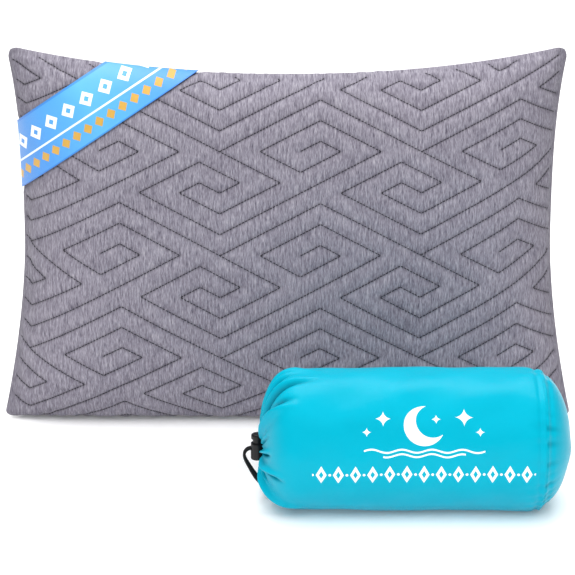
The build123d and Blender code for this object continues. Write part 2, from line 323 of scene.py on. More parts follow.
class Finish:
    # a material under construction
    def __init__(self, name, roughness=0.6, **constants):
        self.material = bpy.data.materials.new(name)
        self.material.use_nodes = True
        self.tree = self.material.node_tree
        self.shader = self.tree.nodes["Principled BSDF"]
        self.shader.inputs["Roughness"].default_value = roughness
        for socket, value in constants.items():
            self.shader.inputs[socket.replace("_", " ")].default_value = value

    def node(self, kind, settings=None, inputs=None, output=0):
        made = self.tree.nodes.new("ShaderNode" + kind)
        for key, value in (settings or {}).items():
            if key == "stops":
                self.fillRamp(made.color_ramp, value)
            else:
                setattr(made, key, value)
        for key, value in (inputs or {}).items():
            self.feed(made.inputs[key], value)
        return Signal(self, made.outputs[output])

    def feed(self, socket, value):
        if isinstance(value, Signal):
            self.tree.links.new(value.socket, socket)
        else:
            socket.default_value = value

    def fillRamp(self, ramp, stops):
        while len(ramp.elements) < len(stops):
            ramp.elements.new(0.5)
        for element, (place, colour) in zip(ramp.elements, stops):
            element.position = place
            element.color = (*colour, 1)

    def math(self, operation, a, b=0.0, c=0.0):
        return self.node("Math", {"operation": operation}, {0: a, 1: b, 2: c})

    def size(self, value):
        return self.math("ABSOLUTE", value)

    def length(self, a, b):
        return self.math("SQRT", a * a + b * b)

    def mix(self, amount, a, b):
        colours = [(*value, 1) if isinstance(value, tuple) else value for value in (a, b)]
        return self.node("Mix", {"data_type": "RGBA"}, {0: amount, 6: colours[0], 7: colours[1]}, 2)

    def ramp(self, value, stops):
        return self.node("ValToRGB", {"stops": stops}, {0: value})

    def noise(self, vector, stretch=(1, 1, 1), detail=2.0, roughness=0.5):
        spread = self.node("Mapping", None, {"Vector": vector, "Scale": stretch})
        inputs = {"Vector": spread, "Scale": 1.0, "Detail": detail, "Roughness": roughness}
        return self.node("TexNoise", None, inputs)

    def parts(self, vector):
        split = self.node("SeparateXYZ", None, {0: vector})
        return [Signal(self, socket) for socket in split.socket.node.outputs]

    def uv(self, name):
        return self.node("UVMap", {"uv_map": name})

    def place(self):
        return self.node("TexCoord", None, None, "Object")

    def attribute(self, name):
        return self.node("Attribute", {"attribute_name": name}, None, "Fac")

    def colour(self, value):
        self.feed(self.shader.inputs["Base Color"], (*value, 1) if isinstance(value, tuple) else value)

    def roughness(self, value):
        self.feed(self.shader.inputs["Roughness"], value)

    def bump(self, height, distance, strength=1.0):
        made = self.node("Bump", None, {"Strength": strength, "Distance": distance, "Height": height})
        self.feed(self.shader.inputs["Normal"], made)


def dress(piece, finish):
    piece.data.materials.clear()
    piece.data.materials.append(finish.material)


def dressNode(node, finish):
    piece = nodes[node]
    if not piece.material_slots:
        piece.data.materials.append(finish.material)
    for slot in piece.material_slots:
        slot.material = finish.material


# materials

def quiltedKnit():
    knit = Finish("quiltedKnit", 0.9, Sheen_Weight=0.06, Sheen_Roughness=0.5, Specular_IOR_Level=0.15)
    flat = knit.uv("flat")
    hair = knit.noise(flat, (1900, 230, 1), 3.0, 0.62)
    slub = knit.noise(flat, (680, 80, 1), 2.0, 0.5)
    cloud = knit.noise(flat, (22, 16, 1), 2.0)
    tone = hair * 0.58 + slub * 0.42 + (cloud - 0.5) * 0.08
    yarn = knit.ramp(tone, [(0.34, (0.090, 0.080, 0.110)), (0.45, (0.200, 0.184, 0.228)),
                            (0.54, (0.280, 0.262, 0.312)), (0.68, (0.430, 0.412, 0.462))])
    # painted shade towards the side and bottom seams, where the cover turns away from the light
    yarn = knit.mix(knit.attribute("rim") * 0.5, yarn, (0.105, 0.098, 0.122))
    # painted shade in the stitched grooves of the quilt
    groove = knit.attribute("groove")
    knit.colour(knit.mix(groove * 0.42, yarn, (0.035, 0.030, 0.042)))
    across, up, unused = knit.parts(flat)
    wale = knit.math("SINE", across * (2 * math.pi / 0.0011))
    course = knit.math("SINE", up * (2 * math.pi / 0.0009))
    knit.roughness(0.82 + hair * 0.14)
    knit.bump(hair * 0.7 + wale * course * 0.12 + slub * 0.4, 0.0006, 0.8)
    return knit


def threadFinish(name, colour):
    thread = Finish(name, 0.75, Sheen_Weight=0.1)
    ply = thread.noise(thread.place(), (2600, 2600, 2600), 2.0)
    dark = tuple(0.6 * part for part in colour)
    thread.colour(thread.mix(ply, dark, colour))
    thread.bump(ply, 0.0002)
    return thread


def plainWeave(name, colour, dark, pitch=0.0007, roughness=0.8):
    # a tape, liner or webbing with an even weave on the object's own coordinates
    weave = Finish(name, roughness, Sheen_Weight=0.1)
    x, y, z = weave.parts(weave.place())
    turn = 2 * math.pi / pitch
    warp = weave.math("SINE", x * turn)
    weft = weave.math("SINE", z * turn)
    cell = warp * weft * 0.5 + 0.5
    speck = weave.noise(weave.place(), (900, 900, 900), 2.0)
    weave.colour(weave.mix(cell * 0.5 + speck * 0.5, dark, colour))
    weave.bump(cell, 0.00015)
    return weave


def glossBlack():
    black = Finish("lockBlack", 0.28, Specular_IOR_Level=0.25)
    grain = black.noise(black.place(), (1500, 1500, 1500), 3.0)
    scuff = black.noise(black.place(), (180, 180, 420), 4.0, 0.7)
    black.colour(black.mix(scuff, (0.004, 0.004, 0.005), (0.012, 0.012, 0.013)))
    black.roughness(0.2 + scuff * 0.25)
    black.bump(grain, 0.00008, 0.5)
    return black


def zipNickel():
    nickel = Finish("zipNickel", 0.3, Metallic=1.0)
    brushed = nickel.noise(nickel.place(), (300, 2500, 2500), 3.0, 0.6)
    tarnish = nickel.noise(nickel.place(), (260, 260, 260), 3.0)
    nickel.colour(nickel.mix(tarnish, (0.30, 0.30, 0.31), (0.55, 0.55, 0.57)))
    nickel.roughness(0.22 + brushed * 0.22)
    nickel.bump(brushed, 0.00005, 0.4)
    return nickel


def cordBlack():
    cord = Finish("cordBlack", 0.7, Specular_IOR_Level=0.25)
    x, y, z = cord.parts(cord.place())
    turn = 2 * math.pi / 0.0012
    braid = cord.math("SINE", (x + y + z) * turn) * cord.math("SINE", (x - y - z) * turn)
    fleck = cord.noise(cord.place(), (1400, 1400, 1400), 2.0)
    cord.colour(cord.mix(braid * 0.3 + fleck * 0.6, (0.004, 0.004, 0.005), (0.028, 0.028, 0.031)))
    cord.bump(braid, 0.00025)
    return cord


sackPrint = {"along": 0.0995, "round": 0.0168, "markLift": 0.0095, "rowDrop": -0.0235,
             "moonRadius": 0.0150, "waveHalf": 0.044, "rowHalf": 0.075, "rowPitch": 0.0125}


def sackNylon():
    nylon = Finish("sackNylon", 0.36, Specular_IOR_Level=0.09)
    wrap = nylon.uv("wrap")
    along, around, unused = nylon.parts(wrap)
    x = along - sackPrint["along"]
    y = around - sackPrint["round"] - sackPrint["markLift"]
    # crescent moon
    disc = nylon.length(x, y - 0.004) < sackPrint["moonRadius"]
    bite = nylon.length(x - 0.0062, y - 0.0075) < sackPrint["moonRadius"] * 0.83
    ink = disc * (1 - bite)
    # four-pointed stars
    for starX, starY, reach in ((-0.030, 0.009, 0.0060), (0.029, 0.010, 0.0070), (0.0085, 0.0085, 0.0036),
                                (0.0405, -0.001, 0.0035), (-0.042, -0.001, 0.0035)):
        point = nylon.size(x - starX) ** 0.6 + nylon.size(y - starY) ** 0.6
        ink = nylon.math("MAXIMUM", ink, point < reach ** 0.6)
    # two wave lines under the moon
    for drop, reach in ((-0.0148, 1.0), (-0.0182, 0.68)):
        wave = nylon.math("SINE", x * (2 * math.pi / 0.022)) * 0.0012
        line = nylon.size(y - drop - wave) < 0.00065
        ink = nylon.math("MAXIMUM", ink, line * (nylon.size(x) < sackPrint["waveHalf"] * reach))
    # a row of lozenges and dots
    yRow = around - sackPrint["round"] - sackPrint["rowDrop"]
    pitch = sackPrint["rowPitch"]
    local = nylon.math("MODULO", x + 8.5 * pitch, pitch) - pitch / 2
    lozenge = (nylon.size(local) / 0.0040 + nylon.size(yRow) / 0.0070) < 1
    hollow = (nylon.size(local) / 0.0040 + nylon.size(yRow) / 0.0070) < 0.42
    between = pitch / 2 - nylon.size(local)
    dot = nylon.length(between, yRow) < 0.0010
    row = nylon.math("MAXIMUM", lozenge * (1 - hollow), dot) * (nylon.size(x) < sackPrint["rowHalf"] + 0.0065)
    ink = nylon.math("MAXIMUM", ink, row)

    tint = nylon.noise(wrap, (30, 24, 1), 3.0)
    thread = nylon.noise(wrap, (2400, 500, 1), 2.0)
    base = nylon.mix(tint, (0.0004, 0.350, 0.490), (0.0004, 0.410, 0.560))
    base = nylon.mix(thread * 0.2, base, (0.001, 0.470, 0.620))
    # painted shade in the folds' valleys, in the puckers by the end seam and in the hem's folds
    cloth = nylon.mix(nylon.attribute("crease") * 0.85, base, (0.000, 0.060, 0.092))
    nylon.colour(nylon.mix(ink * 0.97, cloth, (0.93, 0.95, 0.96)))
    weaveA = nylon.math("SINE", along * (2 * math.pi / 0.0005))
    weaveB = nylon.math("SINE", around * (2 * math.pi / 0.0005))
    ripple = nylon.noise(wrap, (90, 70, 1), 3.0)
    nylon.roughness(0.27 + thread * 0.08 + ink * 0.25)
    nylon.bump(weaveA * weaveB * 0.06 + ripple * 1.2, 0.0006, 0.5)
    return nylon


def sashRibbon():
    ribbon = Finish("sashRibbon", 0.42, Specular_IOR_Level=0.4, Sheen_Weight=0.1)
    x, y, z = ribbon.parts(ribbon.place())
    nx, ny, nz = sashCut["normal"]
    px, py, pz = sashCut["middle"]
    across = (x - px) * nx + (y - py) * ny + (z - pz) * nz
    along = (x - px) * nz - (z - pz) * nx
    glow = ribbon.math("MULTIPLY", ribbon.size(along), 1 / 0.12)
    blue = ribbon.ramp(glow, [(0.0, (0.110, 0.440, 0.800)), (0.45, (0.070, 0.300, 0.740)),
                              (1.0, (0.045, 0.210, 0.660))])
    pitch = 0.0165
    local = ribbon.math("PINGPONG", along + 10 * pitch, pitch / 2)
    bigTrim = (local / 0.0062 + ribbon.size(across - 0.0075) / 0.0068) < 1
    bigHollow = (local / 0.0062 + ribbon.size(across - 0.0075) / 0.0068) < 0.38
    thin = ribbon.size(across + 0.0045) < 0.0008
    smallPitch = 0.0105
    smallLocal = ribbon.math("PINGPONG", along + 10 * smallPitch, smallPitch / 2)
    amberTrim = (smallLocal / 0.0040 + ribbon.size(across + 0.0130) / 0.0046) < 1
    edge = ribbon.size(across) > 0.0222
    trim = ribbon.mix(bigTrim * (1 - bigHollow), blue, (0.92, 0.95, 0.98))
    trim = ribbon.mix(thin, trim, (0.80, 0.88, 0.96))
    trim = ribbon.mix(amberTrim, trim, (0.62, 0.36, 0.07))
    trim = ribbon.mix(edge * 0.55, trim, (0.020, 0.150, 0.600))
    ribbon.colour(trim)
    rib = ribbon.math("SINE", along * (2 * math.pi / 0.0007))
    ribbon.roughness(0.40 + ribbon.noise(ribbon.place(), (500, 500, 500)) * 0.12)
    ribbon.bump(rib, 0.00008, 0.6)
    return ribbon


def softFill(name, light, dark, scale):
    fill = Finish(name, 0.9)
    lumps = fill.noise(fill.place(), (scale, scale, scale), 4.0, 0.6)
    fill.colour(fill.mix(lumps, dark, light))
    fill.bump(lumps, 0.002)
    return fill


# pillow: the quilted cover

coverLow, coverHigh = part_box("cover_front_panel")
pillowShape = {
    "lowerEar": coverHigh.x, "upperEar": coverHigh.x - 0.0105, "waist": coverHigh.x - 0.0205,
    "lowerEarPower": 1.7, "upperEarPower": 3.0, "topEdgePower": 2.2,
    "earHeight": coverHigh.z, "waistHeight": coverHigh.z - 0.0235,
    "footSink": 0.008, "earLift": 0.001, "halfThickness": -coverLow.y,
    "fullAlong": 0.3, "fullUp": 0.2, "edgeBlend": 0.25, "crownAlong": 1.8, "crownUp": 1.3,
    "upperEarRadius": 0.012, "lowerEarRadius": 0.009,
    "footSoftness": 0.0036, "slumpHeight": 0.25, "slumpMiddle": 0.007, "slumpEar": 0.018,
    "simAcross": 60, "simUp": 42, "fine": 5,
    "startInset": 0.0025, "growthCap": 0.007, "pressure": 3.0, "frames": 16,
}
# the quilt's lattice, relief and stitching; the last width is how far the painted shade along the side and
# bottom seams reaches
quilt = {"across": 0.0160, "up": 0.0088, "originAlong": -0.0538, "originUp": 0.0140,
         "relief": 0.0016, "ease": 0.5, "topEase": 0.6, "grooveWidth": 0.0030, "stitchPitch": 0.0028,
         "stitchLength": 0.0021, "threadWidth": 0.00038, "seamMargin": 0.004, "paintedSeamShadeWidth": 0.013}
# one closed figure of the maze, in steps of the quilt's own lattice, from a crossing back to the next one
mazeLine = [(4, 0), (5, -1), (6, 0), (4, 2), (2, 0), (5, -3), (8, 0), (0, 8), (-4, 4), (-1, 1), (1, 3),
            (0, 4), (-1, 3), (-2, 4), (0, 6), (3, 3), (-5, -5), (-10, 0)]


sashCut = {"middle": (-0.154, -0.019, 0.267), "normal": (-0.548, 0.143, 0.824), "width": 0.047,
           "clear": 0.0006, "thickness": 0.0005, "loopLength": 0.36, "lowest": 0.12}


def bunch(t, fullness):
    blend = pillowShape["edgeBlend"]
    s, c = np.sin(np.radians(90 * t)), np.cos(np.radians(90 * t))
    return (1 - blend) * s * (1 + fullness * c * c) + blend * t


def pillowSurface(along, up, side, inset):
    # a point of one face of the pillow; along and up run from -1 to 1 between the seams
    shape = pillowShape
    u, v = bunch(along, shape["fullAlong"]), bunch(up, shape["fullUp"])
    upperEar = (shape["upperEar"] - shape["waist"]) * abs(v) ** shape["upperEarPower"]
    lowerEar = (shape["lowerEar"] - shape["waist"]) * abs(v) ** shape["lowerEarPower"]
    halfWidth = shape["waist"] + np.where(v > 0, upperEar, lowerEar)
    top = shape["waistHeight"] + (shape["earHeight"] - shape["waistHeight"]) * abs(u) ** shape["topEdgePower"]
    bottom = -shape["footSink"] + (shape["footSink"] + shape["earLift"]) * u ** 4
    crown = (np.cos(np.radians(90 * abs(along) ** shape["crownAlong"]))
             * np.cos(np.radians(90 * abs(up) ** shape["crownUp"])))
    halfHeight = (top - bottom) / 2
    # the square corners drawn onto quarter circles
    radius = np.where(v > 0, shape["upperEarRadius"], shape["lowerEarRadius"])
    a = np.clip(1 - halfWidth * (1 - abs(u)) / radius, 0, 1)
    b = np.clip(1 - halfHeight * (1 - abs(v)) / radius, 0, 1)
    x = np.sign(u) * (abs(u) * halfWidth - radius * a * (1 - np.sqrt(1 - b * b / 2)))
    z = (top + bottom) / 2 + np.sign(v) * (abs(v) * halfHeight - radius * b * (1 - np.sqrt(1 - a * a / 2)))
    y = side * (shape["halfThickness"] - inset) * np.maximum(crown, 0)
    return np.stack([x, y, z], axis=-1)


def pressedFlat(z, soft=0.0018):
    # heights with everything that would be below the floor spread out on it
    return np.where(z > 20 * soft, z, soft * np.log1p(np.exp(np.clip(z / soft, -30, 20))))


def stand(points):
    # the pillow's weight on its lower edge: a flat foot, and the lower ears bent forward
    across = abs(points[..., 0]) / pillowShape["lowerEar"]
    low = np.clip(1 - points[..., 2] / pillowShape["slumpHeight"], 0, 1) ** 1.4
    points[..., 1] -= (pillowShape["slumpMiddle"] + pillowShape["slumpEar"] * across ** 4) * low
    points[..., 2] = pressedFlat(points[..., 2], pillowShape["footSoftness"])
    return points


def refinedForm(coarse, factor):
    # the standing form of one panel, with its seam kept on the seam's own line
    form = refine(coarse, factor)
    form[[0, -1], :, 1] = 0
    form[:, [0, -1], 1] = 0
    return stand(form)


def inflate(side):
    # blows one panel up between its pinned seams; the result is one row of points for each grid row
    across, up = pillowShape["simAcross"], pillowShape["simUp"]
    panel, column, row = gridPiece("simPanel", across, up)
    start = pillowSurface(column / across * 2 - 1, row / up * 2 - 1, side, pillowShape["startInset"])
    writePoints(panel, start)
    if side > 0:
        flipped(panel)
    grown = start
    held = panel.vertex_groups.new(name="seam")
    onSeam = (column == 0) | (column == across) | (row == 0) | (row == up)
    held.add([int(i) for i in np.nonzero(onSeam)[0]], 1.0, "REPLACE")
    cloth = panel.modifiers.new("cloth", "CLOTH")
    cloth.settings.quality = 6
    cloth.settings.mass = 0.25
    cloth.settings.tension_stiffness = 12
    cloth.settings.compression_stiffness = 12
    cloth.settings.shear_stiffness = 5
    cloth.settings.bending_stiffness = 1.5
    cloth.settings.air_damping = 4
    cloth.settings.use_pressure = True
    cloth.settings.uniform_pressure_force = pillowShape["pressure"]
    cloth.settings.vertex_group_mass = "seam"
    cloth.settings.effector_weights.gravity = 0
    cloth.point_cache.frame_end = pillowShape["frames"]
    for step in range(1, pillowShape["frames"] + 1):
        bpy.context.scene.frame_set(step)
    applyAll(panel)
    grown = readPoints(panel)
    bpy.context.scene.frame_set(1)
    move = grown - start
    reach = np.linalg.norm(move, axis=1, keepdims=True)
    cap = pillowShape["growthCap"]
    move *= np.minimum(1, cap / np.maximum(reach, 1e-9))
    print("panel", side, "grew by up to", round(float(reach.max()) * 1000, 1), "mm")
    grid = np.zeros((up + 1, across + 1, 3))
    grid[row, column] = start + move
    bpy.data.objects.remove(panel)
    return grid


def arcCoordinates(grid):
    # flat cloth coordinates: distance along the cloth from the middle column and the middle row,
    # with the cloth eased where it turns away to the seams
    eased = grid * np.array([1, quilt["ease"], 1])
    stepX = np.linalg.norm(np.diff(eased, axis=1), axis=2)
    stepY = np.linalg.norm(np.diff(eased, axis=0), axis=2)
    s = np.concatenate([np.zeros((grid.shape[0], 1)), np.cumsum(stepX, axis=1)], axis=1)
    t = np.concatenate([np.zeros((1, grid.shape[1])), np.cumsum(stepY, axis=0)], axis=0)
    s -= s[:, grid.shape[1] // 2][:, None]
    # the middle row rises towards the ears; the maze's rows stay level
    middle = grid[grid.shape[0] // 2, :, 2]
    t += (middle - middle[grid.shape[1] // 2] - t[grid.shape[0] // 2, :])[None, :]
    return s, t * (1 + quilt["topEase"] * np.maximum(t, 0))


def mazeSegments(mirror):
    # every straight run of the stitched maze over one panel, as rows of x0, y0, x1, y1
    stepX, stepY = quilt["across"], quilt["up"]
    runs = []
    for a in range(-3, 4):
        for b in range(-4, 5):
            for (x0, y0), (x1, y1) in zip(mazeLine, mazeLine[1:]):
                runs.append([(x0 + 10 * a) * stepX, -(y0 + 10 * b) * stepY,
                             (x1 + 10 * a) * stepX, -(y1 + 10 * b) * stepY])
    runs = np.array(runs) + np.array([quilt["originAlong"], quilt["originUp"]] * 2)
    if mirror:
        runs[:, [0, 2]] *= -1
    return runs


def distanceToMaze(s, t, runs):
    flatS, flatT = s.ravel(), t.ravel()
    nearest = np.full(flatS.shape, 1.0)
    for x0, y0, x1, y1 in runs:
        margin = 0.009
        near = ((flatS > min(x0, x1) - margin) & (flatS < max(x0, x1) + margin)
                & (flatT > min(y0, y1) - margin) & (flatT < max(y0, y1) + margin))
        if not near.any():
            continue
        px, py = flatS[near] - x0, flatT[near] - y0
        dx, dy = x1 - x0, y1 - y0
        share = np.clip((px * dx + py * dy) / (dx * dx + dy * dy), 0, 1)
        gap = np.hypot(px - share * dx, py - share * dy)
        nearest[near] = np.minimum(nearest[near], gap)
    return nearest.reshape(s.shape)


def gridNormals(grid, side):
    alongX = np.gradient(grid, axis=1)
    alongZ = np.gradient(grid, axis=0)
    normal = np.cross(alongX, alongZ) * (1 if side < 0 else -1)
    return normal / np.maximum(np.linalg.norm(normal, axis=2, keepdims=True), 1e-12)


def zipStrip():
    # the flat strip that the zip lies in, read from its tape: origin, up-slope and outward directions
    tape = nodes["zip_tape_upper"].data
    outer = max((f for f in tape.polygons if f.normal.y > 0.8), key=lambda f: f.area)
    outward = Vector(outer.normal)
    upSlope = outward.cross(Vector((-1, 0, 0))) * -1
    if upSlope.z < 0:
        upSlope = -upSlope
    lowers = [Vector(v.co) for v in nodes["zip_tape_lower"].data.vertices]
    uppers = [Vector(v.co) for v in tape.vertices]
    top = max(p.dot(outward) for p in uppers)
    middle = (max(p.dot(upSlope) for p in uppers) + min(p.dot(upSlope) for p in lowers)) / 2
    halfWidth = (max(p.dot(upSlope) for p in uppers) - min(p.dot(upSlope) for p in lowers)) / 2
    halfLength = max(p.x for p in uppers)
    origin = outward * top + upSlope * middle
    return {"origin": origin, "up": upSlope, "out": outward, "halfLength": halfLength, "halfWidth": halfWidth}


strip = zipStrip()


def layZip(grid):
    # draws the back panel flat round the zip and sinks it under the tapes
    offset = grid - np.array(strip["origin"])
    height = offset @ np.array(strip["out"])
    slope = offset @ np.array(strip["up"])
    beyondX = np.maximum(np.abs(offset[..., 0]) - strip["halfLength"] - 0.004, 0)
    beyondW = np.maximum(np.abs(slope) - strip["halfWidth"] - 0.004, 0)
    pull = 1 - smoothstep(0, 0.032, np.hypot(beyondX, beyondW))
    inX = strip["halfLength"] - np.abs(offset[..., 0])
    inW = strip["halfWidth"] - np.abs(slope)
    inside = smoothstep(-0.0012, 0.0012, np.minimum(inX, inW))
    facing = grid[..., 1] > 0.02
    target = 0.0006 * (1 - inside) - 0.0032 * inside
    move = np.where(facing, pull * (target - height), 0)
    return grid + move[..., None] * np.array(strip["out"]), np.where(facing, inside, 0)


def underSash(grid):
    # how much of each point is covered by the sash
    offset = grid - np.array(sashCut["middle"])
    across = abs(offset @ np.array(sashCut["normal"]))
    nearCorner = (grid[..., 0] < 0) * (grid[..., 2] > sashCut["lowest"])
    return (1 - smoothstep(0, 0.004, across - sashCut["width"] / 2)) * nearCorner


def buildPanel(name, side, coarse):
    # one quilted panel: fine grid, relief of the stitched maze, flat map for the knit
    fine = refinedForm(coarse, pillowShape["fine"])
    sunk = np.zeros(fine.shape[:2])
    if side > 0:
        fine, sunk = layZip(fine)
    s, t = arcCoordinates(fine)
    runs = mazeSegments(side > 0)
    gap = distanceToMaze(s, t, runs)
    rows, columns = gap.shape
    edge = np.minimum.reduce([s - s[:, :1], s[:, -1:] - s, t - t[:1, :], t[-1:, :] - t])
    puff = 1 - np.exp(-(gap / quilt["grooveWidth"]) ** 1.4)
    wander = (np.sin(s * 71 + 1.3 * side) * np.sin(t * 83 + 0.7) * 0.5
              + np.sin(s * 147 + t * 61) * 0.3 + np.sin(t * 190 - s * 45) * 0.2)
    fade = smoothstep(0.001, 0.010, edge) * (1 - sunk)
    under = underSash(fine)
    rise = (quilt["relief"] * (puff - 0.75) + 0.0005 * wander) * fade * (1 - 0.9 * under) - 0.0009 * under
    # small puckers drawn in by the seam
    pucker = np.sin(s * 520 + 3 * np.sin(s * 37)) + np.sin(t * 560 + 3 * np.sin(t * 41))
    rise = rise + 0.0004 * pucker * smoothstep(0.0, 0.004, edge) * (1 - smoothstep(0.006, 0.022, edge))
    normals = gridNormals(fine, side)
    shaped = fine + normals * rise[..., None]
    shaped[..., 2] = np.maximum(shaped[..., 2], 0.0)
    piece, column, row = gridPiece(name, columns - 1, rows - 1)
    writePoints(piece, shaped[row, column])
    if side > 0:
        flipped(piece)
    layUv(piece, "flat", s[row, column], t[row, column])
    # painted shade along the stitched grooves, for the knit's colour
    groove = piece.data.attributes.new("groove", "FLOAT", "POINT")
    dark = np.exp(-(gap[row, column] / 0.0012) ** 2) * fade[row, column]
    groove.data.foreach_set("value", dark.astype(np.float32))
    # painted shade along the side and bottom seams, strongest at the seam and fading inwards
    fromSeam = np.minimum.reduce([s - s[:, :1], s[:, -1:] - s, t - t[:1, :]])
    rim = piece.data.attributes.new("rim", "FLOAT", "POINT")
    rim.data.foreach_set("value", np.exp(-fromSeam[row, column] / quilt["paintedSeamShadeWidth"]).astype(np.float32))
    smooth(piece)
    return piece, {"shape": shaped, "s": s, "t": t, "normals": normals, "runs": runs,
                   "edge": edge, "sunk": sunk}


def oneStitch():
    # a spindle of thread, 1 long, from which every stitch is copied
    deselectAll()
    bpy.ops.mesh.primitive_cylinder_add(vertices=6, radius=1, depth=0.5)
    stitch = bpy.context.object
    bpy.ops.object.mode_set(mode="EDIT")
    bpy.ops.mesh.select_all(action="DESELECT")
    bpy.ops.object.mode_set(mode="OBJECT")
    for end in (1, -1):
        pick(stitch)
        for face in stitch.data.polygons:
            face.select = face.normal.z * end > 0.9
        for edge in stitch.data.edges:
            edge.select = False
        bpy.ops.object.mode_set(mode="EDIT")
        bpy.ops.mesh.select_mode(type="FACE")
        bpy.ops.mesh.extrude_region_move(TRANSFORM_OT_translate={"value": (0, 0, 0.25 * end)})
        bpy.ops.transform.resize(value=(0.35, 0.35, 1), center_override=(0, 0, 0.5 * end))
        bpy.ops.mesh.select_all(action="DESELECT")
        bpy.ops.object.mode_set(mode="OBJECT")
    bpy.ops.object.mode_set(mode="EDIT")
    bpy.ops.mesh.select_all(action="SELECT")
    bpy.ops.mesh.normals_make_consistent(inside=False)
    bpy.ops.object.mode_set(mode="OBJECT")
    points = readPoints(stitch)
    faces = [tuple(f.vertices) for f in stitch.data.polygons]
    bpy.data.objects.remove(stitch)
    return points, faces


stitchPoints, stitchFaces = oneStitch()


def sewAlong(name, starts, ends, normals, width):
    # copies the stitch between each pair of points, lying on the surface with the given normals
    direction = ends - starts
    length = np.linalg.norm(direction, axis=1, keepdims=True)
    direction = direction / np.maximum(length, 1e-9)
    sideways = np.cross(normals, direction)
    sideways /= np.maximum(np.linalg.norm(sideways, axis=1, keepdims=True), 1e-9)
    upwards = np.cross(direction, sideways)
    middle = (starts + ends) / 2 + upwards * width * 0.25
    arch = width * 0.45 * (1 - (2 * stitchPoints[:, 2]) ** 2)
    along = stitchPoints[:, 2][None, :, None] * (direction * length)[:, None, :]
    across = (stitchPoints[:, 0] * width)[None, :, None] * sideways[:, None, :]
    above = (stitchPoints[:, 1] * width * 0.8 + arch)[None, :, None] * upwards[:, None, :]
    points = (middle[:, None, :] + along + across + above).reshape(-1, 3)
    points[:, 2] = np.maximum(points[:, 2], 0.0001)
    count = len(stitchPoints)
    faces = [tuple(i + k * count for i in face) for k in range(len(starts)) for face in stitchFaces]
    mesh = bpy.data.meshes.new(name)
    mesh.from_pydata(points.tolist(), [], faces)
    piece = bpy.data.objects.new(name, mesh)
    bpy.context.scene.collection.objects.link(piece)
    smooth(piece)
    return piece


def onPanel(data, s, t):
    # grid places of flat points, by a few steps of search
    rows, columns = data["s"].shape
    x = (s - data["s"].min()) / (data["s"].max() - data["s"].min()) * (columns - 1)
    y = (t - data["t"].min()) / (data["t"].max() - data["t"].min()) * (rows - 1)
    stepS = (data["s"].max() - data["s"].min()) / (columns - 1)
    stepT = (data["t"].max() - data["t"].min()) / (rows - 1)
    for _ in range(40):
        x = np.clip(x + 0.8 * (s - sampleGrid(data["s"], x, y)) / stepS, 0, columns - 1.001)
        y = np.clip(y + 0.8 * (t - sampleGrid(data["t"], x, y)) / stepT, 0, rows - 1.001)
    missed = np.hypot(s - sampleGrid(data["s"], x, y), t - sampleGrid(data["t"], x, y))
    return x, y, missed


def quiltStitches(name, data):
    starts, ends = [], []
    for x0, y0, x1, y1 in data["runs"]:
        length = math.hypot(x1 - x0, y1 - y0)
        count = max(1, round(length / quilt["stitchPitch"]))
        share = (np.arange(count) + 0.5) / count
        half = quilt["stitchLength"] / 2 / length
        for middle in share:
            starts.append((x0 + (x1 - x0) * (middle - half), y0 + (y1 - y0) * (middle - half)))
            ends.append((x0 + (x1 - x0) * (middle + half), y0 + (y1 - y0) * (middle + half)))
    starts, ends = np.array(starts), np.array(ends)
    limitS, limitT = np.abs(data["s"]).max(), np.abs(data["t"]).max()
    keep = (np.abs(starts[:, 0]) < limitS) & (np.abs(starts[:, 1]) < limitT)
    starts, ends = starts[keep], ends[keep]
    placed = []
    good = np.ones(len(starts), bool)
    for flat in (starts, ends):
        x, y, missed = onPanel(data, flat[:, 0], flat[:, 1])
        margin = sampleGrid(data["edge"], x, y)
        good &= (missed < 0.0004) & (margin > quilt["seamMargin"]) & (sampleGrid(data["sunk"], x, y) < 0.05)
        placed.append((x, y))
    (xa, ya), (xb, yb) = placed
    pointsA = sampleGrid(data["shape"], xa, ya)[good]
    pointsB = sampleGrid(data["shape"], xb, yb)[good]
    normals = sampleGrid(data["normals"], (xa + xb) / 2, (ya + yb) / 2)[good]
    print(name, int(good.sum()), "stitches")
    return sewAlong(name, pointsA, pointsB, normals, quilt["threadWidth"])


coarseFront = inflate(-1)
coarseBack = inflate(1)
coverFront, frontData = buildPanel("coverFront", -1, coarseFront)
coverBack, backData = buildPanel("coverBack", 1, coarseBack)
stitchesFront = quiltStitches("quiltStitchesFront", frontData)
stitchesBack = quiltStitches("quiltStitchesBack", backData)
print("quilted cover made")

# pillow: corner sash

def cornerSash():
    # cut from the pillow's unquilted form between two parallel planes
    panels = []
    for side, coarse in ((-1, coarseFront), (1, coarseBack)):
        smoothForm = refinedForm(coarse, 3)
        rows, columns = smoothForm.shape[:2]
        panel, column, row = gridPiece("sashPanel", columns - 1, rows - 1)
        writePoints(panel, smoothForm[row, column])
        if side > 0:
            flipped(panel)
        panels.append(panel)
    sash = joined(panels, "cornerSash")
    pick(sash)
    middle, normal = Vector(sashCut["middle"]), Vector(sashCut["normal"]).normalized()
    bpy.ops.object.mode_set(mode="EDIT")
    bpy.ops.mesh.select_all(action="SELECT")
    bpy.ops.mesh.remove_doubles(threshold=0.00002)
    for end in (1, -1):
        bpy.ops.mesh.select_all(action="SELECT")
        bpy.ops.mesh.bisect(plane_co=middle + normal * end * sashCut["width"] / 2, plane_no=normal * end,
                            clear_outer=True)
    bpy.ops.mesh.select_all(action="SELECT")
    bpy.ops.mesh.delete_loose()
    bpy.ops.object.mode_set(mode="OBJECT")
    writePoints(sash, readPoints(sash) + vertexNormals(sash) * sashCut["clear"])
    solid = sash.modifiers.new("thickness", "SOLIDIFY")
    solid.thickness = sashCut["thickness"]
    solid.offset = 1
    applyAll(sash)
    smooth(sash, 50)
    return sash


cornerSashPiece = cornerSash()

# pillow: liner and foam, as they follow the cover

